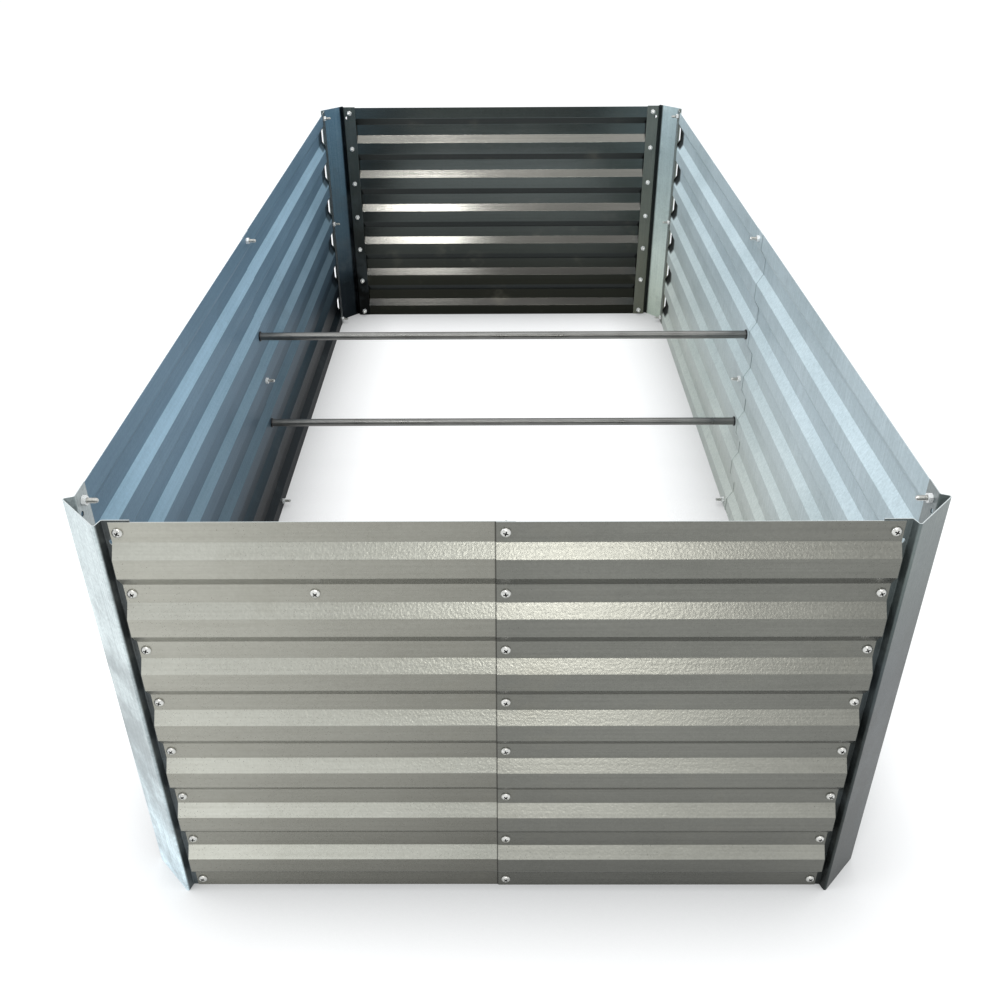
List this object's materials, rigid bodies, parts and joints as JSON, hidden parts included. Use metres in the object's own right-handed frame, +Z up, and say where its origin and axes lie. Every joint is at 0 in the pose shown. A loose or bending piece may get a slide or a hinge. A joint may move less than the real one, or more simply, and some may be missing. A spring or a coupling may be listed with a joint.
{
  "type": "raised garden bed",
  "caption": "Long rectangular raised garden bed of corrugated steel sheets bolted to bevelled corner posts, open above and below, with brace rods across the middle.",
  "frame": {"origin": "on the ground, in the middle of the bed's length and width", "axes": "+Z up, +Y along the length towards the end wall with fewer ribs, +X across the width to the right"},
  "size_m": [0.9, 1.8, 0.566],
  "materials": {
    "corrugated_sheet": "galvanised, spangled",
    "corner_post": "galvanised, spangled",
    "brace_rod": "satin zinc",
    "end_plug": "black oxide",
    "bolt": "bright zinc",
    "nut": "bright zinc"
  },
  "bodies": {
    "root": {"back_left_bolts": "bolt", "back_left_nuts": "nut", "back_left_post": "corner_post", "back_right_bolts": "bolt", "back_right_nuts": "nut", "back_right_post": "corner_post", "back_sheet": "corrugated_sheet", "front_lap_bolts": "bolt", "front_lap_nuts": "nut", "front_left_bolts": "bolt", "front_left_nuts": "nut", "front_left_post": "corner_post", "front_left_sheet": "corrugated_sheet", "front_lone_bolt": "bolt", "front_lone_nut": "nut", "front_right_bolts": "bolt", "front_right_nuts": "nut", "front_right_post": "corner_post", "front_right_sheet": "corrugated_sheet", "left_back_bolts": "bolt", "left_back_nuts": "nut", "left_back_sheet": "corrugated_sheet", "left_front_bolts": "bolt", "left_front_nuts": "nut", "left_front_sheet": "corrugated_sheet", "left_lap_bolts": "bolt", "left_lap_nuts": "nut", "left_rod_bolts": "bolt", "lower_brace_rod": "brace_rod", "lower_rod_plugs": "end_plug", "right_back_bolts": "bolt", "right_back_nuts": "nut", "right_back_sheet": "corrugated_sheet", "right_front_bolts": "bolt", "right_front_nuts": "nut", "right_front_sheet": "corrugated_sheet", "right_lap_bolts": "bolt", "right_lap_nuts": "nut", "right_rod_bolts": "bolt", "upper_brace_rod": "brace_rod", "upper_rod_plugs": "end_plug"}
  },
  "joints": []
}
